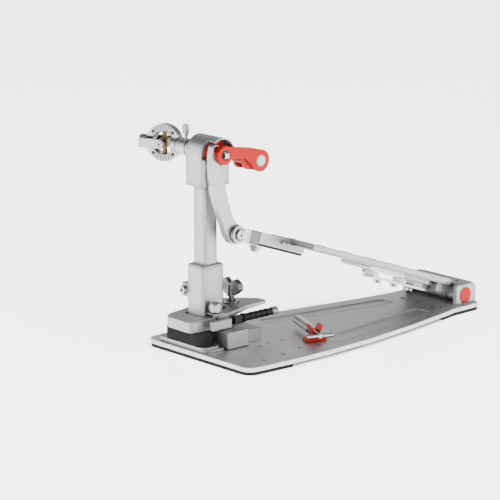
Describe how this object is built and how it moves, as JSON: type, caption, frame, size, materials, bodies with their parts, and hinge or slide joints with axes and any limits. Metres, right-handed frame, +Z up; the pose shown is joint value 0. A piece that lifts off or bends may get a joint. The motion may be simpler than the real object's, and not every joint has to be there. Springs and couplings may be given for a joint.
{
  "type": "bass drum pedal",
  "caption": "Direct-drive bass drum pedal in satin aluminium with red anodised parts, hoop clamp, drive link and universal joint.",
  "frame": {"origin": "on the floor, at the middle of the toe rubber's underside", "axes": "-Y towards the drum (toe), +Y towards the heel, +X the player's left, +Z up"},
  "size_m": [0.2147, 0.3815, 0.241],
  "materials": {
    "satin_aluminium": "satin brushed",
    "chrome": "polished",
    "bearing_steel": "ground",
    "dark_steel": "dark, semi-gloss",
    "brass": "machined",
    "red_anodised": "red anodised, satin",
    "black_rubber": "matt"
  },
  "bodies": {
    "root": {"base_plate": "satin_aluminium", "toe_rubber": "black_rubber", "heel_rubber": "black_rubber", "plate_screw_toe_near": "chrome", "plate_screw_toe_far": "chrome", "plate_screw_heel_near": "chrome", "plate_screw_heel_far": "chrome", "pedestal": "satin_aluminium", "clamp_base_plate": "satin_aluminium", "post_sleeve": "satin_aluminium", "post": "satin_aluminium", "head": "satin_aluminium", "axle_bearing_far": "bearing_steel", "axle_bearing_near": "bearing_steel", "heel_block": "satin_aluminium", "heel_hinge_pin": "bearing_steel", "bearing_cap_near": "red_anodised", "bearing_cap_far": "red_anodised", "key_clip": "red_anodised"},
    "footboard": {"footboard": "satin_aluminium", "hinge_barrel": "satin_aluminium", "stiffener_plate": "chrome", "adjuster_strip": "chrome", "adjuster_bolt_1": "chrome", "adjuster_bolt_2": "chrome", "adjuster_bolt_3": "chrome", "stiffener_nut": "chrome", "extension_bar": "satin_aluminium", "extension_rail": "dark_steel", "extension_pin_1": "chrome", "extension_pin_2": "chrome", "bracket_block": "dark_steel", "toe_bracket": "chrome", "link_bearing_screw": "chrome", "bracket_nut": "dark_steel"},
    "link": {"drive_link": "satin_aluminium"},
    "rocker": {"axle": "chrome", "crank": "red_anodised", "spring_lever": "red_anodised", "spring_lever_pin": "chrome", "axle_collar": "chrome", "ujoint_ring": "chrome"},
    "thumbscrew": {"thumbscrew": "chrome"},
    "ujoint_cross": {"ujoint_cross": "brass"},
    "ujoint_fork": {"ujoint_fork": "chrome"},
    "clamp_jaw": {"clamp_jaw": "satin_aluminium", "jaw_rubber_pad": "black_rubber", "fulcrum_washer": "bearing_steel", "fulcrum_bolt": "chrome", "fulcrum_block": "satin_aluminium", "tension_sleeve": "dark_steel", "tension_nut": "chrome"},
    "wing_bolt": {"wing_bolt": "dark_steel"},
    "height_screw": {"post_height_screw": "chrome"},
    "drum_key": {"drum_key": "chrome"}
  },
  "joints": [
    {"name": "axle_hinge", "type": "hinge", "parent": "root", "child": "rocker", "pos_m": [0, 0.007, 0.2165], "axis": [1, 0, 0], "range_deg": [0, 66]},
    {"name": "footboard_hinge", "type": "hinge", "parent": "root", "child": "footboard", "pos_m": [0, 0.329, 0.0184], "axis": [1, 0, 0], "range_deg": [0, 2.4]},
    {"name": "link_pivot", "type": "hinge", "parent": "footboard", "child": "link", "pos_m": [0, 0.027, 0.128], "axis": [1, 0, 0], "range_deg": [-3.4, 0.2]},
    {"name": "thumbscrew_turn", "type": "hinge", "parent": "rocker", "child": "thumbscrew", "pos_m": [-0.06, 0.007, 0.232], "axis": [0, 0, 1], "range_deg": [0, 360]},
    {"name": "ujoint_yoke", "type": "hinge", "parent": "rocker", "child": "ujoint_cross", "pos_m": [-0.095, 0.007, 0.2165], "axis": [0, 0, 1], "range_deg": [-12, 12]},
    {"name": "ujoint_tilt", "type": "hinge", "parent": "ujoint_cross", "child": "ujoint_fork", "pos_m": [-0.095, 0.007, 0.2165], "axis": [-0.3907, 0.9205, 0], "range_deg": [-25, 25]},
    {"name": "wing_bolt_turn", "type": "hinge", "parent": "root", "child": "wing_bolt", "pos_m": [-0.022, 0.038, 0.06], "axis": [0, 0, -1], "range_deg": [0, 1080]},
    {"name": "jaw_hinge", "type": "hinge", "parent": "root", "child": "clamp_jaw", "pos_m": [0, 0.003, 0.036], "axis": [-1, 0, 0], "range_deg": [0, 6.1]},
    {"name": "height_screw_turn", "type": "hinge", "parent": "root", "child": "height_screw", "pos_m": [-0.0435, -0.01, 0.065], "axis": [0, -1, 0], "range_deg": [0, 720]},
    {"name": "key_lift", "type": "slide", "parent": "root", "child": "drum_key", "axis": [0, 0, 1], "range_m": [0, 0.035]}
  ],
  "couplings": [
    {"joint": "footboard_hinge", "follows": "axle_hinge", "ratio": 0.0344},
    {"joint": "link_pivot", "follows": "axle_hinge", "ratio": -0.048},
    {"joint": "jaw_hinge", "follows": "wing_bolt_turn", "ratio": 0.0055556}
  ]
}
